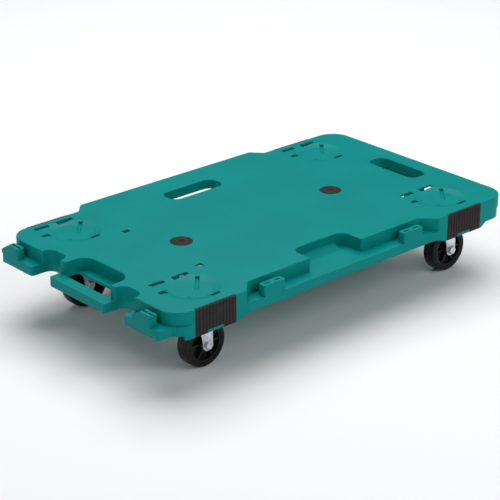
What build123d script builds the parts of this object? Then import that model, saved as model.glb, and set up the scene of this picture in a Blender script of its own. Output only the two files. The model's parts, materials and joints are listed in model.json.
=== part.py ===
from build123d import *
import os
from math import cos, radians, sin

os.makedirs("parts", exist_ok=True)

# Low platform dolly: one moulded deck on four swivel casters.
# +X runs along the deck to its hooked end, +Y to its lipped long side, +Z up.
# The origin is on the floor, under the middle of the deck's length and width.

# ---- overall sizes -------------------------------------------------------
overall_length = 719
overall_width = 422
seat_height = 25
wheel_radius = 37.5
wheel_gap = 14.5
crown_drop = 11
fork_metal = 2.5
caster_height = 2 * wheel_radius + wheel_gap + fork_metal + crown_drop
deck_top = caster_height + seat_height

# ---- deck plan -----------------------------------------------------------
handle_reach = 20
lip_reach = 19.6
corner_radius = 36
mid_shift = 335
caster_pitch_x = 520
caster_pitch_y = 280

handle_x = -overall_length / 2
left_x = handle_x + handle_reach
right_x = overall_length / 2
pad_proud = 0.8
near_y = -overall_width / 2 + pad_proud
lip_y = overall_width / 2
back_y = lip_y - lip_reach
mid_x = left_x + mid_shift
mid_y = (near_y + back_y) / 2
body_length = right_x - left_x
body_width = back_y - near_y
caster_columns = {"left": mid_x - caster_pitch_x / 2, "right": mid_x + caster_pitch_x / 2}
caster_rows = {"near": mid_y - caster_pitch_y / 2, "back": mid_y + caster_pitch_y / 2}

# ---- deck walls and levels -----------------------------------------------
top_plate = 3
wall = 4
lip_wall = 4
rib_wall = 2.6
top_round = 1.8
shelf_drop = 21
shelf_plate = 4
lip_clearance = 0.5
skirt_drop = 35.5
pad_skirt_drop = 42.6
skirt_low_margin = 4
skirt_slope = 22
cross_ribs = 10
cross_rib_pitch = 60
long_ribs = 4
long_rib_pitch = 70
rib_drop = 16
back_skirt_drop = 27
back_rise_half = 150
end_rise_half = 150
cut_overrun = 1
lip_drop = shelf_drop - lip_clearance
plate_under = deck_top - top_plate
shelf_top = deck_top - shelf_drop
shelf_under = shelf_top - shelf_plate
skirt_bottom = deck_top - skirt_drop
rib_bottom = deck_top - rib_drop
pad_skirt_bottom = deck_top - pad_skirt_drop

# ---- rail and recess along the near side ----------------------------------
recess_half = 202
recess_half_inner = 178
recess_depth = 24
recess_round = 11
mouth_round = 3
grip_half = 53
grip_depth = 42
grip_round = 16
grip_ramp = (12, 7)

# ---- hooked lip along the back side ---------------------------------------
lip_half = 198
lip_half_outer = 180
lip_round = 9

# ---- hooked end at +X -----------------------------------------------------
end_step = 7
end_recess = 20
end_recess_half = 189

# ---- handle end at -X -----------------------------------------------------
bar_half = 66
bar_round = 4
bar_grip_half = 54
bar_grip_reach = 40
bar_grip_round = 22
bar_opening_reach = 24
bar_opening_round = 8
notch_width = 44
notch_reach = 17
notch_round = 13.5
end_shelf_outer = 187.5

# ---- coupling lugs --------------------------------------------------------
lug_length = 42
lug_depth = 14
lug_below_top = 3.5
lug_round = 4
lug_top_round = 1.2
lug_slot = (11, 3)
lug_slot_depth = 9
rail_lug_pitch = 291
rail_lug_shift = -1
rail_slot_pitch = 20
end_lug_length = 26
end_lug_pitch = 316
end_slot_pitch = 13
end_ramp_length = 16
end_ramp_foot = 6

# ---- hand slots -----------------------------------------------------------
slot_length = 106
slot_width = 36
slot_round = 14
back_slot_inset = 48
back_slot_shift = -3
end_slot_inset = 49

# ---- small square holes near the handle end --------------------------------
lash_hole = (12, 9)
lash_hole_inset = 142
lash_hole_pitch = 173

# ---- bumper pads ----------------------------------------------------------
pad_length = 76
pad_depth = 3.6
pad_backing = 3.4
pad_rib_pitch = 6.2
pad_groove_width = 2
pad_groove_depth = 0.8
pad_tab_length = 30
pad_tab_height = 4.6
pad_play = 0.15
pad_stud_radius = 3
pad_stud_pitch = 44
pad_stud_drop = 20
pad_top_drop = 0.6
pad_grooves = 11

# ---- anti-slip discs ------------------------------------------------------
disc_pitch = 315
disc_shift = 2.5
disc_radius = 17.5
disc_thickness = 4
disc_proud = 0.8
disc_hole_radius = 4.4
disc_web = 1.2
disc_play = 0.15
disc_seat_wall = 4.5
disc_seat_floor = 8
disc_screw_radius = 2
disc_screw_length = 9
disc_screw_head_radius = 4.1
disc_screw_head_height = 2

# ---- caster ---------------------------------------------------------------
wheel_width = 23
trail = 23
tyre_thickness = 7.5
tyre_round = 4
rim_thickness = 4
rim_inset = 1
hub_radius = 11
hub_proud = 1.5
hub_length = wheel_width + 2 * hub_proud
hub_web = 6
hub_rib_inset = 1.5
hub_ribs = 6
hub_rib_wall = 3
axle_radius = 4
sleeve_radius = 6
running_play = 0.05
hub_end_play = 0.5
fork_gap = hub_length + 2 * hub_end_play
fork_end_radius = 9.5
crown_radius = 27
leg_top_drop = 3
leg_bow = (0.1, 0.62)
fork_hole_play = 0.3
plate_length = 84
plate_width = 64
plate_metal = 2.5
plate_corner = 6
plate_hole_x = 67
plate_hole_y = 46
plate_hole_radius = 3.6
race_radius = 18
race_ring_height = 4.5
race_ring_half = 4.5
ball_radius = 2.5
balls_in_race = 18
ball_play = 0.05
lower_ball_radius = 1.6
lower_race_radius = 10.5
lower_balls = 16
pin_radius = 6
pin_flange_play = 0.6
pin_flange_height = 3.2
pin_flange_gap = 0.6
pin_head_radius = 9
pin_head_height = 2
mount_screw_radius = 3
mount_screw_length = 16
screw_play = 0.03
screw_head_radius = 5.6
screw_head_height = 3.2
nut_radius = 6.9
nut_height = 5
bolt_head_height = 4.5
bolt_tail = 1.6
nut_chamfer = 0.6
seat_margin = 3
pin_pocket_play = 2
screw_hole_spare = 1

seat_length = plate_length + 2 * seat_margin
seat_width = plate_width + 2 * seat_margin
pin_flange_radius = fork_gap / 2 - pin_flange_play
axle_z = wheel_radius
plate_bottom = caster_height - plate_metal
crown_top = caster_height - crown_drop
race_ring_bottom = plate_bottom - race_ring_height
upper_ball_z = (race_ring_bottom + crown_top) / 2
crown_bottom = crown_top - fork_metal
flange_top = crown_bottom - pin_flange_gap
lower_ball_z = (flange_top + crown_bottom) / 2

# ---- wheel cradle pressed into the deck over each caster ------------------
cradle_shift = (8, 2)
cradle_radius = 44
cradle_depth = 3
cradle_slope = 13
cradle_backing = 5
cradle_backing_radius = 54
cradle_cut_width = 8.5
cradle_cut_depth = 6.4
cradle_cut_round = 2
cradle_cuts = [((-22, 44), 27), ((22, 44), 30), ((-34, 15), 15), ((20, -36), 16)]
cradle_groove_radius = 3.5
cradle_groove_from = (12, -5)
cradle_groove_length = 42
cradle_groove_turn = 48
cradle_pip = (-13, -17)
cradle_pip_radius = 3


def export_node(part, name):
    part.label = name
    export_step(part, f"parts/{name}.step")


def corners_at(vertices, points):
    """The vertices of an outline that stand at the given points."""
    return [v for v in vertices if any(abs(v.X - x) + abs(v.Y - y) < 0.5 for x, y in points)]


# ---- deck outlines, seen from above ---------------------------------------
with BuildSketch() as body_plan:
    with Locations(((left_x + right_x) / 2, mid_y)):
        RectangleRounded(body_length, body_width, corner_radius)

with BuildSketch() as lip_plan:
    with BuildLine():
        Polyline(
            (mid_x - lip_half, back_y - cut_overrun),
            (mid_x - lip_half, back_y),
            (mid_x - lip_half_outer, lip_y),
            (mid_x + lip_half_outer, lip_y),
            (mid_x + lip_half, back_y),
            (mid_x + lip_half, back_y - cut_overrun),
            close=True,
        )
    make_face()
    fillet(lip_plan.vertices().group_by(Axis.Y)[-1], lip_round)

with BuildSketch() as recess_plan:
    with BuildLine():
        Polyline(
            (mid_x - recess_half, near_y - cut_overrun),
            (mid_x - recess_half, near_y),
            (mid_x - recess_half_inner, near_y + recess_depth),
            (mid_x + recess_half_inner, near_y + recess_depth),
            (mid_x + recess_half, near_y),
            (mid_x + recess_half, near_y - cut_overrun),
            close=True,
        )
    make_face()
    fillet(recess_plan.vertices().group_by(Axis.Y)[-1], recess_round)

with BuildSketch() as grip_plan:
    with Locations((mid_x, near_y + recess_depth + grip_depth / 2)):
        Rectangle(2 * grip_half, grip_depth)
    fillet(grip_plan.vertices().group_by(Axis.Y)[-1], grip_round)

with BuildSketch() as hand_slots:
    with Locations((mid_x + back_slot_shift, back_y - back_slot_inset)):
        RectangleRounded(slot_length, slot_width, slot_round)
    with Locations((right_x - end_slot_inset, mid_y)):
        RectangleRounded(slot_width, slot_length, slot_round)

notch_centres = [mid_y - bar_half - notch_width / 2, mid_y + bar_half + notch_width / 2]
with BuildSketch() as notch_plan:
    with Locations(*[(left_x, y) for y in notch_centres]):
        Rectangle(2 * notch_reach, notch_width)
    fillet(notch_plan.vertices().group_by(Axis.X)[-1], notch_round)

end_shelf_inner = bar_half + notch_width
end_shelf_mid = (end_shelf_inner + end_shelf_outer) / 2
with BuildSketch() as end_strips:
    with Locations((left_x, mid_y - end_shelf_mid), (left_x, mid_y + end_shelf_mid)):
        Rectangle(2 * handle_reach, end_shelf_outer - end_shelf_inner)
    with Locations((left_x, mid_y)):
        Rectangle(2 * handle_reach, 2 * bar_half)
    fillet(end_strips.vertices().group_by(Axis.X)[0], bar_round)

with BuildSketch() as bar_grip_plan:
    with Locations((left_x, mid_y)):
        Rectangle(2 * bar_grip_reach, 2 * bar_grip_half)
    fillet(bar_grip_plan.vertices().group_by(Axis.X)[-1], bar_grip_round)

with BuildSketch() as bar_opening_plan:
    with Locations((left_x + bar_opening_reach / 2, mid_y)):
        RectangleRounded(bar_opening_reach, 2 * bar_grip_half, bar_opening_round)

with BuildSketch() as end_recess_plan:
    with Locations((right_x, mid_y)):
        Rectangle(2 * end_recess, 2 * end_recess_half)

upper_mouths = []
for side in (-1, 1):
    upper_mouths.append((mid_x + side * recess_half, near_y))
    upper_mouths.append((mid_x + side * lip_half, back_y))
    upper_mouths.append((mid_x + side * grip_half, near_y + recess_depth))
    upper_mouths.append((left_x, mid_y + side * bar_half))
    upper_mouths.append((left_x, mid_y + side * (bar_half + notch_width)))
    upper_mouths.append((left_x, mid_y + side * bar_grip_half))

# The upper band holds the load surface, both hooked lips and the cut-away grips.
with BuildSketch() as upper_plan:
    add(body_plan.sketch)
    add(lip_plan.sketch)
    add(recess_plan.sketch, mode=Mode.SUBTRACT)
    add(grip_plan.sketch, mode=Mode.SUBTRACT)
    add(notch_plan.sketch, mode=Mode.SUBTRACT)
    add(bar_grip_plan.sketch, mode=Mode.SUBTRACT)
    fillet(corners_at(upper_plan.vertices(), upper_mouths), mouth_round)
    add(hand_slots.sketch, mode=Mode.SUBTRACT)

# The lower band holds the rail, the carrying bar and the shelves of the lugs.
with BuildSketch() as lower_outline:
    with Locations(((left_x + right_x - end_step) / 2, mid_y)):
        RectangleRounded(body_length - end_step, body_width, corner_radius - end_step)
    add(end_strips.sketch)
    add(end_recess_plan.sketch, mode=Mode.SUBTRACT)
    add(notch_plan.sketch, mode=Mode.SUBTRACT)

with BuildSketch() as lower_plan:
    add(lower_outline.sketch)
    add(bar_opening_plan.sketch, mode=Mode.SUBTRACT)
    add(hand_slots.sketch, mode=Mode.SUBTRACT)

with BuildSketch() as shared_plan:
    add(upper_plan.sketch)
    add(lower_plan.sketch, mode=Mode.INTERSECT)

# ---- hollows under the deck ------------------------------------------------
pad_centres = []
for pad_x in caster_columns.values():
    pad_centres.append((pad_x, near_y))
    pad_centres.append((pad_x, back_y))

disc_points = [
    (mid_x + disc_shift - disc_pitch / 2, mid_y),
    (mid_x + disc_shift + disc_pitch / 2, mid_y),
]
caster_points = [(x, y) for x in caster_columns.values() for y in caster_rows.values()]
pad_faces = [((x, near_y), -1) for x in caster_columns.values()]
pad_faces += [((x, back_y), 1) for x in caster_columns.values()]
rail_lugs = [
    (mid_x + rail_lug_shift + k * rail_lug_pitch, near_y + lug_depth / 2) for k in (-0.5, 0.5)
]
end_lugs = [(handle_x + lug_depth / 2, mid_y + k * end_lug_pitch) for k in (-0.5, 0.5)]
pad_block = 2 * (pad_depth + pad_backing)

with BuildSketch() as lower_hollow:
    add(lower_outline.sketch)
    offset(amount=-wall, mode=Mode.REPLACE)
    with Locations(*pad_centres):
        Rectangle(pad_length + 2 * wall, pad_block, mode=Mode.SUBTRACT)
    with Locations((left_x, mid_y)):
        Rectangle(2 * wall, 2 * bar_half, mode=Mode.SUBTRACT)

with BuildSketch() as middle_hollow:
    add(shared_plan.sketch)
    add(hand_slots.sketch)
    offset(amount=-wall, mode=Mode.REPLACE)
    with Locations(*pad_centres):
        Rectangle(pad_length + 2 * wall, pad_block, mode=Mode.SUBTRACT)
    with Locations(*caster_points):
        RectangleRounded(seat_length, seat_width, plate_corner, mode=Mode.SUBTRACT)

with BuildSketch() as upper_hollow:
    add(shared_plan.sketch)
    offset(amount=-wall, mode=Mode.REPLACE)
    with Locations(*pad_centres):
        Rectangle(pad_length + 2 * wall, pad_block, mode=Mode.SUBTRACT)
    with Locations((mid_x, mid_y)):
        with GridLocations(cross_rib_pitch, 0, cross_ribs, 1):
            Rectangle(rib_wall, body_width, mode=Mode.SUBTRACT)
        with GridLocations(0, long_rib_pitch, 1, long_ribs):
            Rectangle(2 * body_length, rib_wall, mode=Mode.SUBTRACT)
    with Locations(*caster_points):
        RectangleRounded(seat_length, seat_width, plate_corner, mode=Mode.SUBTRACT)
    with Locations(*disc_points):
        Circle(disc_radius + disc_seat_wall, mode=Mode.SUBTRACT)

with BuildSketch() as lip_hollow:
    with BuildLine():
        Polyline(
            (mid_x - lip_half_outer, back_y),
            (mid_x - lip_half_outer, lip_y - lip_wall),
            (mid_x + lip_half_outer, lip_y - lip_wall),
            (mid_x + lip_half_outer, back_y),
            close=True,
        )
    make_face()
    with Locations((right_x - (end_recess + lip_wall) / 2, mid_y)):
        Rectangle(end_recess - lip_wall, 2 * end_recess_half)

# ---- the shape that is cut from the deck over each caster -------------------
with BuildPart() as cradle:
    with BuildSketch():
        with Locations(cradle_shift):
            Circle(cradle_radius)
    with BuildSketch(Plane.XY.offset(-cradle_depth)):
        with Locations(cradle_shift):
            Circle(cradle_radius - cradle_slope)
    loft()
    with BuildSketch():
        for point, length in cradle_cuts:
            with Locations(point):
                RectangleRounded(length, cradle_cut_width, cradle_cut_round)
    extrude(amount=-cradle_cut_depth)
    groove_x = cradle_groove_from[0] + cradle_groove_length / 2 * cos(radians(cradle_groove_turn))
    groove_y = cradle_groove_from[1] + cradle_groove_length / 2 * sin(radians(cradle_groove_turn))
    with Locations(Location((groove_x, groove_y, -cradle_depth / 2), (0, 0, cradle_groove_turn))):
        Cylinder(cradle_groove_radius, cradle_groove_length, rotation=(0, 90, 0))
    with Locations((*cradle_pip, -cradle_depth - cradle_pip_radius / 2)):
        Sphere(cradle_pip_radius, mode=Mode.SUBTRACT)

# ---- deck moulding ---------------------------------------------------------
with BuildPart() as deck:
    with BuildSketch(Plane.XY.offset(deck_top - lip_drop)):
        add(upper_plan.sketch)
    extrude(amount=lip_drop)
    with BuildSketch(Plane.XY.offset(shelf_top)):
        add(shared_plan.sketch)
    extrude(amount=shelf_drop)
    with BuildSketch(Plane.XY.offset(pad_skirt_bottom)):
        add(lower_plan.sketch)
    extrude(amount=shelf_top - pad_skirt_bottom)
    fillet(deck.edges().group_by(Axis.Z)[-1], top_round)

    # The skirt hangs lowest beside the casters and rises between them.
    skirt_step = pad_skirt_drop - skirt_drop
    low_half = pad_length / 2 + skirt_low_margin
    with BuildSketch(Plane.XZ.offset(-lip_y - cut_overrun)):
        with BuildLine():
            Polyline(
                (caster_columns["left"] + low_half, pad_skirt_bottom - cut_overrun),
                (caster_columns["left"] + low_half, pad_skirt_bottom),
                (caster_columns["left"] + low_half + skirt_slope, skirt_bottom),
                (caster_columns["right"] - low_half - skirt_slope, skirt_bottom),
                (caster_columns["right"] - low_half, pad_skirt_bottom),
                (caster_columns["right"] - low_half, pad_skirt_bottom - cut_overrun),
                close=True,
            )
        make_face()
        with BuildLine():
            Polyline(
                (caster_columns["right"] + low_half, pad_skirt_bottom - cut_overrun),
                (caster_columns["right"] + low_half, pad_skirt_bottom),
                (caster_columns["right"] + low_half + skirt_slope / 2, skirt_bottom),
                (right_x + cut_overrun, skirt_bottom),
                (right_x + cut_overrun, pad_skirt_bottom - cut_overrun),
                close=True,
            )
        make_face()
    extrude(amount=overall_width + 2 * cut_overrun, mode=Mode.SUBTRACT)
    with BuildSketch(Plane.XY.offset(skirt_bottom)):
        with Locations((left_x, mid_y)):
            Rectangle(2 * handle_reach, overall_width)
            Rectangle(2 * bar_grip_reach, 2 * end_shelf_inner)
    extrude(amount=-skirt_step - cut_overrun, mode=Mode.SUBTRACT)
    with BuildSketch(Plane.XY.offset(deck_top - back_skirt_drop)):
        with Locations((mid_x, back_y)):
            Rectangle(2 * back_rise_half, 4 * wall)
    extrude(amount=back_skirt_drop - pad_skirt_drop - cut_overrun, mode=Mode.SUBTRACT)
    with BuildSketch(Plane.XY.offset(shelf_under)):
        with Locations((right_x - end_recess, mid_y)):
            Rectangle(4 * wall, 2 * end_rise_half)
    extrude(amount=pad_skirt_bottom - shelf_under - cut_overrun, mode=Mode.SUBTRACT)

    # hollow underside: skirt walls below, rib cells above
    with BuildSketch(Plane.XY.offset(pad_skirt_bottom - cut_overrun)):
        add(lower_hollow.sketch)
    extrude(amount=shelf_under - pad_skirt_bottom + cut_overrun, mode=Mode.SUBTRACT)
    with BuildSketch(Plane.XY.offset(shelf_under)):
        add(middle_hollow.sketch)
    extrude(amount=rib_bottom - shelf_under, mode=Mode.SUBTRACT)
    with BuildSketch(Plane.XY.offset(rib_bottom)):
        add(upper_hollow.sketch)
    extrude(amount=plate_under - cradle_backing - rib_bottom, mode=Mode.SUBTRACT)
    with BuildSketch(Plane.XY.offset(plate_under - cradle_backing)):
        add(upper_hollow.sketch)
        with Locations(*caster_points):
            Circle(cradle_backing_radius, mode=Mode.SUBTRACT)
    extrude(amount=cradle_backing, mode=Mode.SUBTRACT)
    with BuildSketch(Plane.XY.offset(deck_top - lip_drop)):
        add(lip_hollow.sketch)
    extrude(amount=lip_drop - top_plate, mode=Mode.SUBTRACT)

    # seats that the caster plates bolt up to, with pockets for the king pin heads
    with BuildSketch(Plane.XY.offset(caster_height)):
        with Locations(*caster_points):
            RectangleRounded(seat_length, seat_width, plate_corner)
    extrude(amount=plate_under - caster_height)
    with BuildSketch(Plane.XY.offset(caster_height)):
        with Locations(*caster_points):
            Circle(pin_head_radius + pin_pocket_play)
    extrude(amount=pin_head_height + pin_pocket_play, mode=Mode.SUBTRACT)
    with BuildSketch(Plane.XY.offset(caster_height)):
        with Locations(*caster_points):
            with GridLocations(plate_hole_x, plate_hole_y, 2, 2):
                Circle(mount_screw_radius + screw_play)
    extrude(amount=mount_screw_length - plate_metal + screw_hole_spare, mode=Mode.SUBTRACT)

    # coupling lugs on the rail and on the end shelves
    with BuildSketch(Plane.XY.offset(shelf_top)):
        with Locations(*rail_lugs):
            RectangleRounded(lug_length, lug_depth, lug_round)
        with Locations(*end_lugs):
            RectangleRounded(lug_depth, end_lug_length, lug_round)
    lugs = extrude(amount=shelf_drop - lug_below_top)
    fillet(lugs.edges().group_by(Axis.Z)[-1], lug_top_round)
    with BuildSketch(Plane.YZ.offset(handle_x)):
        for x, y in end_lugs:
            ramp_start = y + end_lug_length / 2 - lug_round
            with BuildLine():
                Polyline(
                    (ramp_start, shelf_top),
                    (ramp_start, deck_top - lug_below_top - lug_top_round),
                    (ramp_start + lug_round, deck_top - lug_below_top - lug_top_round),
                    (ramp_start + lug_round + end_ramp_length, shelf_top + end_ramp_foot),
                    (ramp_start + lug_round + end_ramp_length, shelf_top),
                    close=True,
                )
            make_face()
    extrude(amount=lug_depth)
    with BuildSketch(Plane.XY.offset(deck_top - lug_below_top)):
        for k in (-0.5, 0.5):
            with Locations(*[(x + k * rail_slot_pitch, y) for x, y in rail_lugs]):
                Rectangle(*lug_slot)
            with Locations(*[(x, y + k * end_slot_pitch) for x, y in end_lugs]):
                Rectangle(lug_slot[1], lug_slot[0])
    extrude(amount=-lug_slot_depth, mode=Mode.SUBTRACT)

    # a ramp along the foot of the grip wall, which turns a hand up behind the rail
    with BuildSketch(Plane.YZ.offset(mid_x - grip_half + grip_round)):
        with BuildLine():
            Polyline(
                (near_y + recess_depth + grip_depth, shelf_top),
                (near_y + recess_depth + grip_depth, shelf_top + grip_ramp[1]),
                (near_y + recess_depth + grip_depth - grip_ramp[0], shelf_top),
                close=True,
            )
        make_face()
    extrude(amount=2 * (grip_half - grip_round))

    # recesses for the bumper pads, each around a tab at the foot of the skirt
    with BuildSketch(Plane.XY.offset(pad_skirt_bottom)):
        with Locations(*pad_centres):
            Rectangle(pad_length, 2 * pad_depth)
    extrude(amount=pad_skirt_drop, mode=Mode.SUBTRACT)
    with BuildSketch(Plane.XY.offset(pad_skirt_bottom)):
        for (x, y), out in pad_faces:
            with Locations((x, y - out * pad_depth / 2)):
                Rectangle(pad_tab_length, pad_depth)
    extrude(amount=pad_tab_height)
    with BuildSketch(Plane.XZ.offset(-overall_width)):
        for x in caster_columns.values():
            with Locations((x, deck_top - pad_stud_drop)):
                with GridLocations(pad_stud_pitch, 0, 2, 1):
                    Circle(pad_stud_radius + pad_play)
    extrude(amount=2 * overall_width, mode=Mode.SUBTRACT)

    # seats of the anti-slip discs
    with BuildSketch(Plane.XY.offset(rib_bottom)):
        with Locations(*disc_points):
            Circle(disc_radius - disc_play)
    extrude(amount=rib_drop - disc_seat_floor, mode=Mode.SUBTRACT)
    with BuildSketch(Plane.XY.offset(deck_top)):
        with Locations(*disc_points):
            Circle(disc_radius + disc_play)
    extrude(amount=disc_proud - disc_thickness, mode=Mode.SUBTRACT)
    with BuildSketch(Plane.XY.offset(deck_top)):
        with Locations(*disc_points):
            Circle(disc_screw_radius + screw_play)
        with Locations(*[(left_x + lash_hole_inset, mid_y + k * lash_hole_pitch) for k in (-0.5, 0.5)]):
            Rectangle(*lash_hole)
    extrude(amount=-disc_seat_floor - cut_overrun, mode=Mode.SUBTRACT)

    # wheel cradles, so that stacked dollies sit wheels down in one another
    with Locations(*[(x, y, deck_top) for x, y in caster_points]):
        add(cradle.part, mode=Mode.SUBTRACT)
export_node(deck.part, "deck")

# ---- bumper pad: outward is -Y, y = 0 is the outer face of the skirt --------
with BuildPart() as bumper:
    with BuildSketch(Plane.XY.offset(pad_skirt_bottom)):
        with Locations((0, (pad_depth - pad_proud) / 2)):
            Rectangle(pad_length - 2 * pad_play, pad_depth + pad_proud)
        with Locations((0, -pad_proud)):
            with GridLocations(pad_rib_pitch, 0, pad_grooves, 1):
                Rectangle(pad_groove_width, 2 * pad_groove_depth, mode=Mode.SUBTRACT)
    extrude(amount=pad_skirt_drop - pad_top_drop)
    with BuildSketch(Plane.XY.offset(pad_skirt_bottom)):
        Rectangle(pad_tab_length + 2 * pad_play, pad_block)
    extrude(amount=pad_tab_height + pad_play, mode=Mode.SUBTRACT)
    with BuildSketch(Plane.XZ.offset(-pad_depth)):
        with Locations((0, deck_top - pad_stud_drop)):
            with GridLocations(pad_stud_pitch, 0, 2, 1):
                Circle(pad_stud_radius)
    extrude(amount=-pad_backing)

with BuildPart() as bumper_back:
    mirror(bumper.part, about=Plane.XZ)

for column, x in caster_columns.items():
    for row, y, piece in (("near", near_y, bumper), ("back", back_y, bumper_back)):
        with BuildPart(Plane(origin=(x, y, 0))) as pad:
            add(piece.part)
        export_node(pad.part, f"bumper_pad_{row}_{column}")

# ---- anti-slip discs and their screws ---------------------------------------
disc_bottom = deck_top + disc_proud - disc_thickness
with BuildPart() as disc:
    with BuildSketch(Plane.XY.offset(disc_bottom)):
        Circle(disc_radius)
        Circle(disc_screw_radius + disc_play, mode=Mode.SUBTRACT)
    extrude(amount=disc_thickness)
    fillet(disc.edges().group_by(Axis.Z)[-1].sort_by(SortBy.RADIUS)[-1], disc_proud)
    with BuildSketch(Plane.XY.offset(disc_bottom + disc_web)):
        Circle(disc_hole_radius)
    extrude(amount=disc_thickness, mode=Mode.SUBTRACT)

with BuildPart() as disc_screw:
    with BuildSketch(Plane.XY.offset(disc_bottom + disc_web)):
        Circle(disc_screw_head_radius)
    extrude(amount=disc_screw_head_height)
    fillet(disc_screw.edges().group_by(Axis.Z)[-1], disc_screw_head_height / 3)
    with BuildSketch(Plane.XY.offset(disc_bottom + disc_web)):
        Circle(disc_screw_radius)
    extrude(amount=-disc_screw_length)

for column, point in zip(("left", "right"), disc_points):
    with BuildPart(Plane(origin=(*point, 0))) as placed_disc:
        add(disc.part)
    export_node(placed_disc.part, f"anti_slip_disc_{column}")
with BuildPart() as disc_screws:
    with Locations(*[(x, y, 0) for x, y in disc_points]):
        add(disc_screw.part)
export_node(disc_screws.part, "anti_slip_disc_screws")

# ---- caster pieces: the swivel axis is at x = y = 0, the wheel trails to +X ---
with BuildPart() as plate:
    with BuildSketch(Plane.XY.offset(plate_bottom)):
        RectangleRounded(plate_length, plate_width, plate_corner)
        with GridLocations(plate_hole_x, plate_hole_y, 2, 2):
            Circle(plate_hole_radius, mode=Mode.SUBTRACT)
    extrude(amount=plate_metal)
    with BuildSketch(Plane.XY.offset(race_ring_bottom)):
        Circle(race_radius + race_ring_half)
    extrude(amount=race_ring_height)
    with BuildSketch(Plane.XY.offset(race_ring_bottom)):
        Circle(race_radius - race_ring_half)
    extrude(amount=race_ring_height, mode=Mode.SUBTRACT)
    with BuildSketch(Plane.XY.offset(plate_bottom)):
        Circle(pin_radius + running_play)
    extrude(amount=plate_metal, mode=Mode.SUBTRACT)
    with Locations((0, 0, upper_ball_z)):
        Torus(race_radius, ball_radius + ball_play, mode=Mode.SUBTRACT)

with BuildPart() as mount_screws:
    with BuildSketch(Plane.XY.offset(plate_bottom)):
        with GridLocations(plate_hole_x, plate_hole_y, 2, 2):
            Circle(mount_screw_radius)
    extrude(amount=mount_screw_length)
    with BuildSketch(Plane.XY.offset(plate_bottom)):
        with GridLocations(plate_hole_x, plate_hole_y, 2, 2):
            RegularPolygon(screw_head_radius, 6)
    extrude(amount=-screw_head_height)

with BuildPart() as king_pin:
    with BuildSketch(Plane.XY.offset(flange_top - pin_flange_height)):
        Circle(pin_radius)
    extrude(amount=caster_height - flange_top + pin_flange_height)
    with BuildSketch(Plane.XY.offset(caster_height)):
        Circle(pin_head_radius)
    extrude(amount=pin_head_height)
    chamfer(king_pin.edges().group_by(Axis.Z)[-1], pin_head_height / 2)
    with BuildSketch(Plane.XY.offset(flange_top)):
        Circle(pin_flange_radius)
    extrude(amount=-pin_flange_height)
    chamfer(king_pin.edges().group_by(Axis.Z)[0], pin_flange_height / 3)
    with Locations((0, 0, lower_ball_z)):
        Torus(lower_race_radius, lower_ball_radius + ball_play, mode=Mode.SUBTRACT)

with BuildPart() as balls:
    with Locations((0, 0, upper_ball_z)):
        with PolarLocations(race_radius, balls_in_race):
            Sphere(ball_radius)
    with Locations((0, 0, lower_ball_z)):
        with PolarLocations(lower_race_radius, lower_balls):
            Sphere(lower_ball_radius)

fork_half = fork_gap / 2 + fork_metal
leg_chord = (crown_radius**2 - fork_half**2) ** 0.5
with BuildPart() as fork:
    with BuildSketch(Plane.XZ.offset(-fork_half)):
        with BuildLine():
            back_edge = ThreePointArc(
                (-leg_chord, crown_bottom - leg_top_drop),
                (trail * leg_bow[0], axle_z + (crown_bottom - axle_z) * leg_bow[1]),
                (trail - fork_end_radius, axle_z),
            )
            ThreePointArc(
                back_edge @ 1,
                (trail, axle_z - fork_end_radius),
                (trail + fork_end_radius, axle_z),
            )
            Polyline(
                (trail + fork_end_radius, axle_z),
                (trail + fork_end_radius, crown_bottom - crown_drop),
                (leg_chord, crown_top),
                (-leg_chord, crown_top),
                (-leg_chord, crown_bottom - leg_top_drop),
            )
        make_face()
    extrude(amount=2 * fork_half)
    fillet(fork.edges().filter_by(Axis.X).group_by(Axis.Z)[-1], fork_metal)
    with BuildSketch(Plane.XY.offset(crown_bottom)):
        Rectangle(4 * crown_radius, fork_gap)
    extrude(amount=-crown_bottom, mode=Mode.SUBTRACT)
    with BuildSketch(Plane.XY.offset(crown_bottom)):
        Circle(crown_radius)
    extrude(amount=fork_metal)
    with BuildSketch(Plane.XY.offset(crown_bottom)):
        Circle(pin_radius + fork_hole_play)
    extrude(amount=fork_metal, mode=Mode.SUBTRACT)
    with BuildSketch(Plane.XZ.offset(-fork_half)):
        with Locations((trail, axle_z)):
            Circle(axle_radius + running_play)
    extrude(amount=2 * fork_half, mode=Mode.SUBTRACT)
    with Locations((0, 0, upper_ball_z)):
        Torus(race_radius, ball_radius + ball_play, mode=Mode.SUBTRACT)
    with Locations((0, 0, lower_ball_z)):
        Torus(lower_race_radius, lower_ball_radius + ball_play, mode=Mode.SUBTRACT)

with BuildPart() as sleeve:
    with BuildSketch(Plane.XZ.offset(-fork_gap / 2)):
        with Locations((trail, axle_z)):
            Circle(sleeve_radius)
            Circle(axle_radius + running_play, mode=Mode.SUBTRACT)
    extrude(amount=fork_gap)

with BuildPart() as axle_bolt:
    with BuildSketch(Plane.XZ.offset(fork_half)):
        with Locations((trail, axle_z)):
            RegularPolygon(nut_radius, 6)
    extrude(amount=bolt_head_height)
    chamfer(axle_bolt.faces().sort_by(Axis.Y)[0].edges(), nut_chamfer)
    with BuildSketch(Plane.XZ.offset(fork_half)):
        with Locations((trail, axle_z)):
            Circle(axle_radius)
    extrude(amount=-2 * fork_half - nut_height - bolt_tail)

with BuildPart() as axle_nut:
    with BuildSketch(Plane.XZ.offset(-fork_half)):
        with Locations((trail, axle_z)):
            RegularPolygon(nut_radius, 6)
    extrude(amount=-nut_height)
    chamfer(axle_nut.faces().sort_by(Axis.Y)[-1].edges(), nut_chamfer)
    with BuildSketch(Plane.XZ.offset(-fork_half)):
        with Locations((trail, axle_z)):
            Circle(axle_radius + running_play)
    extrude(amount=-nut_height, mode=Mode.SUBTRACT)

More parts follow.
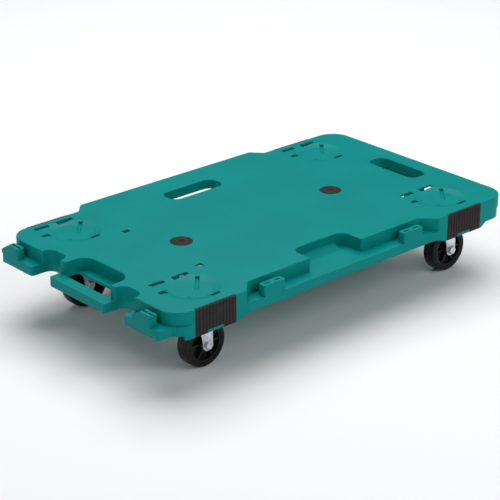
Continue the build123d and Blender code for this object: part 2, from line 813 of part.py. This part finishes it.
rim_radius = wheel_radius - tyre_thickness
rim_width = wheel_width - 2 * rim_inset
with BuildPart() as wheel_centre:
    with BuildSketch(Plane.XZ.offset(-rim_width / 2)):
        with Locations((trail, axle_z)):
            Circle(rim_radius)
            Circle(rim_radius - rim_thickness, mode=Mode.SUBTRACT)
    extrude(amount=rim_width)
    with BuildSketch(Plane.XZ.offset(-hub_web / 2)):
        with Locations((trail, axle_z)):
            Circle(rim_radius)
    extrude(amount=hub_web)
    with BuildSketch(Plane.XZ.offset(-rim_width / 2 + hub_rib_inset)):
        with Locations((trail, axle_z)):
            with PolarLocations((rim_radius - rim_thickness + hub_radius) / 2, hub_ribs):
                Rectangle(rim_radius - hub_radius, hub_rib_wall)
    extrude(amount=rim_width - 2 * hub_rib_inset)
    with BuildSketch(Plane.XZ.offset(-hub_length / 2)):
        with Locations((trail, axle_z)):
            Circle(hub_radius)
    extrude(amount=hub_length)
    with BuildSketch(Plane.XZ.offset(-hub_length / 2)):
        with Locations((trail, axle_z)):
            Circle(sleeve_radius + running_play)
    extrude(amount=hub_length, mode=Mode.SUBTRACT)

with BuildPart() as tyre:
    with BuildSketch(Plane.XZ.offset(-wheel_width / 2)):
        with Locations((trail, axle_z)):
            Circle(wheel_radius)
    extrude(amount=wheel_width)
    fillet(tyre.edges().filter_by(GeomType.CIRCLE), tyre_round)
    with BuildSketch(Plane.XZ.offset(-wheel_width / 2)):
        with Locations((trail, axle_z)):
            Circle(rim_radius)
    extrude(amount=wheel_width, mode=Mode.SUBTRACT)

caster_pieces = {
    "caster_plate": plate,
    "mount_screws": mount_screws,
    "king_pin": king_pin,
    "bearing_balls": balls,
    "caster_fork": fork,
    "axle_sleeve": sleeve,
    "axle_bolt": axle_bolt,
    "axle_nut": axle_nut,
    "wheel_centre": wheel_centre,
    "tyre": tyre,
}
for column, x in caster_columns.items():
    for row, y in caster_rows.items():
        for name, piece in caster_pieces.items():
            with BuildPart(Plane(origin=(x, y, 0))) as placed:
                add(piece.part)
            export_node(placed.part, f"{name}_{row}_{column}")
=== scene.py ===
import json
from math import cos, pi, radians, sin

import bpy
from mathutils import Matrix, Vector


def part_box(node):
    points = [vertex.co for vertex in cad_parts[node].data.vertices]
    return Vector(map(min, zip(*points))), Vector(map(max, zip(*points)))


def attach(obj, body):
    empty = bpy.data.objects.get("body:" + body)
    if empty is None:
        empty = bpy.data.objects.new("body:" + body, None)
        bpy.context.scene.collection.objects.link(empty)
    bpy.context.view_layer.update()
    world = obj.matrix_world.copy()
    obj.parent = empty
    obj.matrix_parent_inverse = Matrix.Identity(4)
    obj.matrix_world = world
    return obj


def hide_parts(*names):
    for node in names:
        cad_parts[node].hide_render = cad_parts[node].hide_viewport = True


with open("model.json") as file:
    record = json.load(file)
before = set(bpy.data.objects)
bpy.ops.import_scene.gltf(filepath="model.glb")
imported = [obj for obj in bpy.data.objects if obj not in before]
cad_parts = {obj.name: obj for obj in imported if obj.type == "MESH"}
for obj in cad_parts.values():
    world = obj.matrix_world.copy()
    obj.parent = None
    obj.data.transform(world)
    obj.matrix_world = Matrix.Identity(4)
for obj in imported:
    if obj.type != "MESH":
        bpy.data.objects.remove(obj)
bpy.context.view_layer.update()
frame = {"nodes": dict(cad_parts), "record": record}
nodes = frame["nodes"]
corners = [row + "_" + column for row in ("near", "back") for column in ("left", "right")]
print("frame loaded")


# A shader socket that takes part in sums, so shader maths reads as an expression.
class Wire:
    def __init__(self, look, socket):
        self.look = look
        self.socket = socket

    def sum(self, operation, *values):
        return self.look.add("ShaderNodeMath", {"operation": operation}, dict(enumerate(values)))

    def __add__(self, other):
        return self.sum("ADD", self, other)

    def __radd__(self, other):
        return self.sum("ADD", other, self)

    def __sub__(self, other):
        return self.sum("SUBTRACT", self, other)

    def __rsub__(self, other):
        return self.sum("SUBTRACT", other, self)

    def __mul__(self, other):
        return self.sum("MULTIPLY", self, other)

    def __rmul__(self, other):
        return self.sum("MULTIPLY", other, self)

    def between(self, low, high):
        # 0 below low, 1 above high, and a smooth step from one to the other
        settings = {"interpolation_type": "SMOOTHSTEP"}
        limits = {"Value": self, "From Min": low, "From Max": high}
        return self.look.add("ShaderNodeMapRange", settings, limits)


edgeShading = {"samples": 6, "flat": 0.995, "sharp": 0.72}


# One material: its nodes all come from add(), which fills settings first and then sockets.
class Look:
    def __init__(self, name):
        self.material = bpy.data.materials.new(name)
        self.material.use_nodes = True
        self.tree = self.material.node_tree
        self.shader = self.tree.nodes["Principled BSDF"]
        self.place = self.add("ShaderNodeTexCoord", output="Object")

    def add(self, kind, settings=None, inputs=None, output=0):
        node = self.tree.nodes.new(kind)
        for key, value in (settings or {}).items():
            setattr(node, key, value)
        for key, value in (inputs or {}).items():
            self.feed(node.inputs[key], value)
        return Wire(self, node.outputs[output])

    def feed(self, socket, value):
        if isinstance(value, Wire):
            self.tree.links.new(value.socket, socket)
        else:
            socket.default_value = value

    def noise(self, scale, detail=3.0, stretch=None, twist=0.0):
        place = self.place
        if stretch:
            place = self.add("ShaderNodeVectorMath", {"operation": "MULTIPLY"}, {0: place, 1: stretch})
        inputs = {"Vector": place, "Scale": scale, "Detail": detail, "Distortion": twist}
        return self.add("ShaderNodeTexNoise", None, inputs, "Fac")

    def mix(self, factor, first, second):
        return self.add("ShaderNodeMix", {"data_type": "RGBA"}, {0: factor, 6: first, 7: second}, 2)

    def edges(self, radius):
        # 1 along convex and concave edges, 0 on open faces
        soft = self.add("ShaderNodeBevel", {"samples": edgeShading["samples"]}, {"Radius": radius})
        flat = self.add("ShaderNodeNewGeometry", output="True Normal")
        alike = self.add("ShaderNodeVectorMath", {"operation": "DOT_PRODUCT"}, {0: soft, 1: flat}, "Value")
        return 1 - alike.between(edgeShading["sharp"], edgeShading["flat"])

    def finish(self, colour, roughness, height=None, depth=0.0001, softEdge=0.0, **fixed):
        self.feed(self.shader.inputs["Base Color"], colour)
        self.feed(self.shader.inputs["Roughness"], roughness)
        for key, value in fixed.items():
            self.feed(self.shader.inputs[key.replace("_", " ")], value)
        normal = None
        if softEdge:
            normal = self.add("ShaderNodeBevel", {"samples": edgeShading["samples"]}, {"Radius": softEdge})
        if height is not None:
            inputs = {"Height": height, "Distance": depth, "Strength": 1.0}
            if normal:
                inputs["Normal"] = normal
            normal = self.add("ShaderNodeBump", None, inputs)
        if normal:
            self.feed(self.shader.inputs["Normal"], normal)
        return self.material


deckPlastic = {
    "colour": (0.0, 0.236, 0.226, 1),
    "deep": (0.0, 0.215, 0.205, 1),
    "rubbed": (0.012, 0.3, 0.29, 1),
    "roughness": 0.34,
    "specular": 0.06,
    "cloudScale": 9,
    "flowScale": 42,
    "grainScale": 2400,
    "poreScale": 700,
    "scuffScale": 60,
    "crossScale": 48,
    "grainDepth": 0.00005,
    "edgeRadius": 0.0009,
}


def makeDeckPlastic():
    plastic = deckPlastic
    look = Look("deckPlasticTeal")
    clouds = look.noise(plastic["cloudScale"], 4)
    flow = look.noise(plastic["flowScale"], 5, (1, 1, 0.4), 0.6)
    grain = look.noise(plastic["grainScale"], 2)
    pores = look.noise(plastic["poreScale"], 2)
    scuffs = look.noise(plastic["scuffScale"], 6, (0.35, 6, 6), 0.9).between(0.67, 0.74)
    cross = look.noise(plastic["crossScale"], 6, (5, 0.4, 5), 0.7).between(0.69, 0.76)
    edge = look.edges(plastic["edgeRadius"])
    colour = look.mix(clouds.between(0.3, 0.75), plastic["deep"], plastic["colour"])
    rub = (scuffs + cross) * 0.16 + edge * pores.between(0.35, 0.6) * 0.3
    colour = look.mix(rub, colour, plastic["rubbed"])
    roughness = plastic["roughness"] + flow * 0.12 + (scuffs + cross) * 0.12 - edge * 0.05
    height = grain + pores * 0.7 + (scuffs + cross) * -0.6
    return look.finish(
        colour, roughness, height, plastic["grainDepth"], plastic["edgeRadius"],
        Specular_IOR_Level=plastic["specular"],
    )


padRubber = {"colour": (0.018, 0.0135, 0.0135, 1), "dusty": (0.045, 0.037, 0.036, 1), "roughness": 0.6}


# what all the rubber pieces and the nylon wheel centres share
rubberGrain = {
    "grainScale": 1500, "dustScale": 55, "wearRadius": 0.0006, "grainDepth": 0.00006,
    "edgeRadius": 0.0005, "specular": 0.25,
}


def makeRubber(name, values):
    look = Look(name)
    grain = look.noise(rubberGrain["grainScale"], 3)
    dust = look.noise(rubberGrain["dustScale"], 5, None, 0.5)
    edge = look.edges(rubberGrain["wearRadius"])
    soil = dust.between(0.4, 0.75) * 0.35 + edge * 0.3
    colour = look.mix(soil, values["colour"], values["dusty"])
    roughness = values["roughness"] + dust * 0.2 - edge * 0.1
    return look.finish(
        colour, roughness, grain, rubberGrain["grainDepth"], rubberGrain["edgeRadius"],
        Specular_IOR_Level=rubberGrain["specular"],
    )


discRubber = {"colour": (0.014, 0.0105, 0.01, 1), "dusty": (0.034, 0.027, 0.026, 1), "roughness": 0.62}
tyreRubber = {"colour": (0.006, 0.006, 0.0065, 1), "dusty": (0.03, 0.029, 0.028, 1), "roughness": 0.34}
wheelNylon = {"colour": (0.006, 0.006, 0.0065, 1), "dusty": (0.022, 0.022, 0.022, 1), "roughness": 0.3}

zincPlate = {
    "colour": (0.55, 0.58, 0.62, 1),
    "bright": (0.75, 0.77, 0.8, 1),
    "dull": (0.3, 0.31, 0.33, 1),
    "roughness": 0.28,
    "spangleScale": 160,
    "stainScale": 35,
    "fineScale": 2200,
    "wearRadius": 0.0007,
    "edgeRadius": 0.0005,
    "depth": 0.00002,
}


def makeZinc(name, values, lift=0.0):
    look = Look(name)
    inputs = {"Vector": look.place, "Scale": values["spangleScale"], "Randomness": 1.0}
    spangle = look.add("ShaderNodeTexVoronoi", None, inputs, "Distance")
    stain = look.noise(values["stainScale"], 5, None, 0.8)
    fine = look.noise(values["fineScale"], 2, (1, 1, 0.2))
    edge = look.edges(values["wearRadius"])
    colour = look.mix(spangle.between(0.1, 0.7), values["colour"], values["bright"])
    colour = look.mix(stain.between(0.52, 0.8) * 0.5, colour, values["dull"])
    roughness = values["roughness"] + lift + stain * 0.18 + spangle * 0.06 - edge * 0.08
    height = fine + spangle * 0.5
    return look.finish(colour, roughness, height, values["depth"], values["edgeRadius"], Metallic=1.0)


blackOxide = {
    "colour": (0.004, 0.004, 0.004, 1),
    "rubbed": (0.05, 0.047, 0.045, 1),
    "roughness": 0.4,
    "stainScale": 240,
    "wearRadius": 0.0004,
    "edgeRadius": 0.0003,
    "depth": 0.00004,
    "specular": 0.2,
}


def makeBlackOxide():
    oxide = blackOxide
    look = Look("screwBlackOxide")
    stain = look.noise(oxide["stainScale"], 4)
    edge = look.edges(oxide["wearRadius"])
    rubbed = edge * stain.between(0.35, 0.6)
    colour = look.mix(rubbed * 0.6, oxide["colour"], oxide["rubbed"])
    roughness = oxide["roughness"] + stain * 0.2
    return look.finish(
        colour, roughness, stain, oxide["depth"], oxide["edgeRadius"], Specular_IOR_Level=oxide["specular"]
    )


ballSteel = {
    "colour": (0.56, 0.56, 0.58, 1),
    "greased": (0.12, 0.09, 0.05, 1),
    "roughness": 0.14,
    "greaseScale": 420,
    "depth": 0.00002,
}


def makeBallSteel():
    steel = ballSteel
    look = Look("ballSteelGreased")
    grease = look.noise(steel["greaseScale"], 4, None, 0.5)
    colour = look.mix(grease.between(0.45, 0.7) * 0.6, steel["colour"], steel["greased"])
    roughness = steel["roughness"] + grease * 0.25
    return look.finish(colour, roughness, grease, steel["depth"], Metallic=1.0)


looks = {
    "deck_plastic": makeDeckPlastic(),
    "pad_rubber": makeRubber("padRubberBrownBlack", padRubber),
    "disc_rubber": makeRubber("discRubberGrey", discRubber),
    "black_screw": makeBlackOxide(),
    "zinc_plate": makeZinc("zincPlateSheet", zincPlate),
    "zinc_fastener": makeZinc("zincFastener", zincPlate, 0.06),
    "bearing_steel": makeBallSteel(),
    "wheel_plastic": makeRubber("wheelNylonBlack", wheelNylon),
    "tyre_rubber": makeRubber("tyreRubberBlack", tyreRubber),
}
for part in frame["record"]["subparts"]:
    for materialSlot in nodes[part["node"]].material_slots:
        materialSlot.material = looks[part["material_slot"]]
print("materials made")


def deselectAll():
    if bpy.context.object and bpy.context.object.mode != "OBJECT":
        bpy.ops.object.mode_set(mode="OBJECT")
    bpy.ops.object.select_all(action="DESELECT")


def settle(piece, name):
    # the place and size go into the mesh, and the object stays at the origin
    deselectAll()
    bpy.context.view_layer.objects.active = piece
    piece.select_set(True)
    bpy.ops.object.transform_apply(location=True, rotation=True, scale=True)
    piece.name = name
    return piece


def pickFaces(piece, wanted):
    # leaves edit mode with just the wanted faces selected
    bpy.ops.object.mode_set(mode="EDIT")
    bpy.ops.mesh.select_mode(type="FACE")
    bpy.ops.mesh.select_all(action="DESELECT")
    bpy.ops.object.mode_set(mode="OBJECT")
    for face in piece.data.polygons:
        face.select = wanted(face.center, face.normal)
    bpy.ops.object.mode_set(mode="EDIT")


def rim(inward, shift=(0, 0, 0)):
    # insets the selected faces, then moves them
    bpy.ops.mesh.inset(thickness=inward)
    bpy.ops.transform.translate(value=shift)


def soften(piece, width, segments=2, angle=30):
    bpy.ops.object.mode_set(mode="OBJECT")
    bevel = piece.modifiers.new("softEdges", "BEVEL")
    bevel.width = width
    bevel.segments = segments
    bevel.limit_method = "ANGLE"
    bevel.angle_limit = radians(angle)
    bpy.context.view_layer.objects.active = piece
    bpy.ops.object.modifier_apply(modifier=bevel.name)
    piece.select_set(True)
    bpy.ops.object.shade_smooth_by_angle(angle=radians(35))


def cutWith(piece, cutter, operation="DIFFERENCE"):
    bpy.ops.object.mode_set(mode="OBJECT")
    join = piece.modifiers.new("cut", "BOOLEAN")
    join.operation = operation
    join.solver = "EXACT"
    join.object = cutter
    bpy.context.view_layer.objects.active = piece
    bpy.ops.object.modifier_apply(modifier=join.name)
    bpy.data.objects.remove(cutter)


def hand(piece, node, materialSlot, body):
    # the piece stands for the node, in its finish, and rides with its body
    piece.data.materials.clear()
    piece.data.materials.append(looks[materialSlot])
    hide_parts(node)
    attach(piece, body)


# side strips of ribbed rubber, sizes in metres
bumperPad = {
    "thickness": 0.0044, "grooves": 11, "pitch": 0.0062, "mouth": 0.002, "floor": 0.0012, "depth": 0.0008,
    "tabLength": 0.0303, "tabHeight": 0.00475, "soft": 0.0003,
    "studPitch": 0.044, "studDrop": 0.0194, "studRadius": 0.003, "studTaper": 0.85, "studSides": 24,
    "studSink": 0.0002,
}


def makeBumperPad(corner):
    pad = bumperPad
    low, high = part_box("bumper_pad_" + corner)
    inward = 1 if corner.startswith("near") else -1
    face = low.y if inward > 0 else high.y
    middle = (low.x + high.x) / 2
    place = (middle, face + inward * pad["thickness"] / 2, (low.z + high.z) / 2)
    size = (high.x - low.x, pad["thickness"], high.z - low.z)
    deselectAll()
    bpy.ops.mesh.primitive_cube_add(size=1, location=place, scale=size)
    strip = settle(bpy.context.object, "bumperPad." + corner)
    bpy.ops.object.mode_set(mode="EDIT")
    grooves = [middle + (k - (pad["grooves"] - 1) / 2) * pad["pitch"] for k in range(pad["grooves"])]
    for groove in grooves:
        for edge in (-pad["mouth"] / 2, -pad["floor"] / 2, pad["floor"] / 2, pad["mouth"] / 2):
            bpy.ops.mesh.select_all(action="SELECT")
            bpy.ops.mesh.bisect(plane_co=(groove + edge, 0, 0), plane_no=(1, 0, 0))

    def inGroove(centre, normal):
        outer = normal.y * inward < -0.9
        return outer and any(abs(centre.x - groove) < pad["floor"] / 4 for groove in grooves)

    pickFaces(strip, inGroove)
    bpy.ops.transform.translate(value=(0, inward * pad["depth"], 0))
    bpy.ops.object.mode_set(mode="OBJECT")
    deselectAll()
    tab = (pad["tabLength"], pad["thickness"] * 3, pad["tabHeight"] * 2)
    bpy.ops.mesh.primitive_cube_add(size=1, location=(middle, place[1], low.z), scale=tab)
    cutWith(strip, bpy.context.object)
    for side in (-0.5, 0.5):
        deselectAll()
        reach = high.y - low.y - pad["thickness"]
        studY = face + inward * (pad["thickness"] + reach / 2 - pad["studSink"])
        stud = (middle + side * pad["studPitch"], studY, high.z - pad["studDrop"])
        bpy.ops.mesh.primitive_cone_add(
            vertices=pad["studSides"], radius1=pad["studRadius"],
            radius2=pad["studRadius"] * pad["studTaper"], depth=reach + 2 * pad["studSink"],
            location=stud, rotation=(-inward * pi / 2, 0, 0),
        )
        cutWith(strip, bpy.context.object, "UNION")
    soften(strip, pad["soft"])
    hand(strip, "bumper_pad_" + corner, "pad_rubber", "deck_body")


# anti-slip disc: a groove round the top, and a stepped hole for the screw
antiSlipDisc = {
    "vertices": 96, "shoulder": 0.0007, "ring": 0.0026, "ringWall": 0.0004, "ringFloor": 0.0009,
    "ringDepth": 0.00035, "hole": 0.0044, "holeWall": 0.00005, "web": 0.0012, "screwHole": 0.00215,
    "soft": 0.00022,
}


def makeAntiSlipDisc(side):
    disc = antiSlipDisc
    low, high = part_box("anti_slip_disc_" + side)
    middle = (low + high) / 2
    radius = (high.x - low.x) / 2
    deselectAll()
    bpy.ops.mesh.primitive_cylinder_add(
        vertices=disc["vertices"], radius=radius, depth=high.z - low.z, location=middle
    )
    piece = settle(bpy.context.object, "antiSlipDisc." + side)
    pickFaces(piece, lambda centre, normal: normal.z > 0.9)
    bpy.ops.transform.translate(value=(0, 0, -disc["shoulder"]))
    rim(disc["shoulder"], (0, 0, disc["shoulder"]))
    rim(disc["ring"])
    rim(disc["ringWall"], (0, 0, -disc["ringDepth"]))
    rim(disc["ringFloor"])
    rim(disc["ringWall"], (0, 0, disc["ringDepth"]))
    used = disc["shoulder"] + disc["ring"] + 2 * disc["ringWall"] + disc["ringFloor"]
    rim(radius - used - disc["hole"])
    rim(disc["holeWall"], (0, 0, disc["web"] - (high.z - low.z)))
    rim(disc["hole"] - disc["holeWall"] - disc["screwHole"])
    bpy.ops.mesh.delete(type="FACE")
    pickFaces(piece, lambda centre, normal: normal.z < -0.9 and centre.z < low.z + 0.0001)
    rim(radius - disc["screwHole"])
    bpy.ops.mesh.delete(type="FACE")
    bpy.ops.mesh.select_mode(type="EDGE")
    bpy.ops.mesh.select_all(action="DESELECT")
    bpy.ops.mesh.select_non_manifold()
    bpy.ops.mesh.bridge_edge_loops()
    bpy.ops.mesh.select_all(action="SELECT")
    bpy.ops.mesh.normals_make_consistent(inside=False)
    soften(piece, disc["soft"])
    hand(piece, "anti_slip_disc_" + side, "disc_rubber", "deck_body")


# rubber tyre: radii and depths in metres
tyre = {
    "vertices": 128, "bore": 0.03, "shoulder": 0.0036, "shoulderSteps": 6, "seam": 0.0005,
    "seamRise": 0.00015, "sidewall": 0.35, "bead": 0.0012, "beadWall": 0.0003, "beadDepth": 0.0007,
}


def makeTyre(corner):
    low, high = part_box("tyre_" + corner)
    middle = (low + high) / 2
    radius = (high.z - low.z) / 2
    width = high.y - low.y
    deselectAll()
    bpy.ops.mesh.primitive_cylinder_add(
        vertices=tyre["vertices"], radius=radius - tyre["seamRise"], depth=width,
        location=middle, rotation=(pi / 2, 0, 0),
    )
    piece = settle(bpy.context.object, "tyre." + corner)
    # round shoulders, a shallow bead groove round each side, then the bore
    steps = tyre["shoulderSteps"]
    reach = radius - tyre["shoulder"] - tyre["bore"]
    for side in (-1, 1):
        sideFace = middle.y + side * width / 2
        pickFaces(piece, lambda centre, normal: normal.y * side > 0.9 and abs(centre.y - sideFace) < 0.0001)
        bpy.ops.transform.translate(value=(0, -side * tyre["shoulder"], 0))
        for step in range(1, steps + 1):
            before = (step - 1) * pi / 2 / steps
            after = step * pi / 2 / steps
            inset = tyre["shoulder"] * (cos(before) - cos(after))
            rim(inset, (0, side * tyre["shoulder"] * (sin(after) - sin(before)), 0))
        rim(reach * tyre["sidewall"])
        rim(tyre["beadWall"], (0, -side * tyre["beadDepth"], 0))
        rim(tyre["bead"] - 2 * tyre["beadWall"])
        rim(tyre["beadWall"], (0, side * tyre["beadDepth"], 0))
        rim(reach - tyre["seamRise"] - reach * tyre["sidewall"] - tyre["bead"])
        bpy.ops.mesh.delete(type="FACE")
    bpy.ops.mesh.select_mode(type="EDGE")
    bpy.ops.mesh.select_all(action="DESELECT")
    bpy.ops.mesh.select_non_manifold()
    bpy.ops.mesh.bridge_edge_loops()
    # the fine raised line that the mould's halves leave round the tread
    for edge in (-1, 0, 1):
        bpy.ops.mesh.select_all(action="SELECT")
        bpy.ops.mesh.bisect(plane_co=(0, middle.y + edge * tyre["seam"], 0), plane_no=(0, 1, 0))
    bpy.ops.object.mode_set(mode="OBJECT")
    for vertex in piece.data.vertices:
        away = Vector((vertex.co.x - middle.x, 0, vertex.co.z - middle.z))
        if abs(vertex.co.y - middle.y) < tyre["seam"] / 2 and away.length > radius * 0.95:
            away.length = radius
            vertex.co.x = middle.x + away.x
            vertex.co.z = middle.z + away.z
    bpy.ops.object.mode_set(mode="EDIT")
    bpy.ops.mesh.select_all(action="SELECT")
    bpy.ops.mesh.remove_doubles(threshold=0.000001)
    bpy.ops.mesh.normals_make_consistent(inside=False)
    bpy.ops.object.mode_set(mode="OBJECT")
    piece.select_set(True)
    bpy.ops.object.shade_smooth_by_angle(angle=radians(40))
    hand(piece, "tyre_" + corner, "tyre_rubber", "wheel_" + corner)


for corner in corners:
    makeBumperPad(corner)
    makeTyre(corner)
print("bumper pads and tyres made")
for side in ("left", "right"):
    makeAntiSlipDisc(side)
print("anti-slip discs made")


floorLook = {"colour": (0.86, 0.87, 0.88, 1), "roughness": 0.9, "size": 40}


def addFloor():
    deselectAll()
    bpy.ops.mesh.primitive_plane_add(size=floorLook["size"])
    floor = bpy.context.object
    floor.name = "floor"
    look = Look("floorPale")
    floor.data.materials.append(look.finish(floorLook["colour"], floorLook["roughness"]))


# turn and height in degrees, lens and sensor in millimetres, clip in metres
camera = {
    "place": (-1.7982, -1.9875, 1.2223), "turn": -41.96, "height": 23.37,
    "lens": 132.6, "sensor": 36, "clip": (0.1, 100),
}


def addCamera():
    data = bpy.data.cameras.new("camera")
    data.lens = camera["lens"]
    data.sensor_width = camera["sensor"]
    data.clip_start, data.clip_end = camera["clip"]
    eye = bpy.data.objects.new("camera", data)
    eye.location = camera["place"]
    eye.rotation_euler = (radians(90 - camera["height"]), 0, radians(camera["turn"]))
    bpy.context.collection.objects.link(eye)
    bpy.context.scene.camera = eye


# each light: place, what it faces, side length, watts
lights = {
    "skyPanel": ((0.6, 0.8, 2.9), (0.0, 0.0, 0.1), 3.4, 105),
    "frontPanel": ((0.9, -3.0, 1.9), (0.0, 0.0, 0.1), 2.6, 52),
    "endPanel": ((-3.1, -0.2, 1.7), (0.0, 0.0, 0.1), 2.4, 26),
    "rampStrip": ((1.5, 1.9, 2.5), (0.0, 0.0, 0.12), 0.5, 9),
}


room = {"colour": (0.95, 0.97, 1, 1), "strength": 0.1}


def addLights():
    for name, (place, aim, size, power) in lights.items():
        data = bpy.data.lights.new(name, "AREA")
        data.size = size
        data.energy = power
        lamp = bpy.data.objects.new(name, data)
        lamp.location = place
        lamp.rotation_euler = (Vector(aim) - Vector(place)).to_track_quat("-Z", "Y").to_euler()
        bpy.context.collection.objects.link(lamp)
    world = bpy.data.worlds.new("softRoom")
    world.use_nodes = True
    glow = world.node_tree.nodes["Background"]
    glow.inputs["Color"].default_value = room["colour"]
    glow.inputs["Strength"].default_value = room["strength"]
    bpy.context.scene.world = world
    bpy.context.scene.view_settings.view_transform = "Standard"


addFloor()
addCamera()
addLights()
print("stage set")
